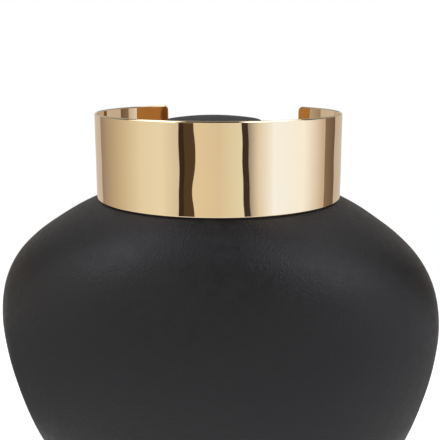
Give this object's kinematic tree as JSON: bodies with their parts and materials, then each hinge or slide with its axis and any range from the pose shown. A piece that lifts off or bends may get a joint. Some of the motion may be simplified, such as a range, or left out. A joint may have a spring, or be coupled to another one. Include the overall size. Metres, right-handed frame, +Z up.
{
  "type": "collar choker necklace on a neck bust",
  "caption": "Wide open collar choker of mirror-polished gold-coloured metal, resting on a smooth black leather-look neck bust that displays it.",
  "frame": {"origin": "middle of the object's box at the level of the bust's flat base", "axes": "+Z up; the chest faces -Y; the choker opens at the back, +Y; +X runs along the shoulders"},
  "size_m": [0.2374, 0.1494, 0.2275],
  "materials": {
    "gold_metal": "mirror-polished pale gold plating with rounded bright edges",
    "black_leatherette": "charcoal black leatherette, fine grain, soft satin sheen"
  },
  "bodies": {
    "root": {"collar_band": "gold_metal", "neck_bust": "black_leatherette"}
  },
  "joints": []
}
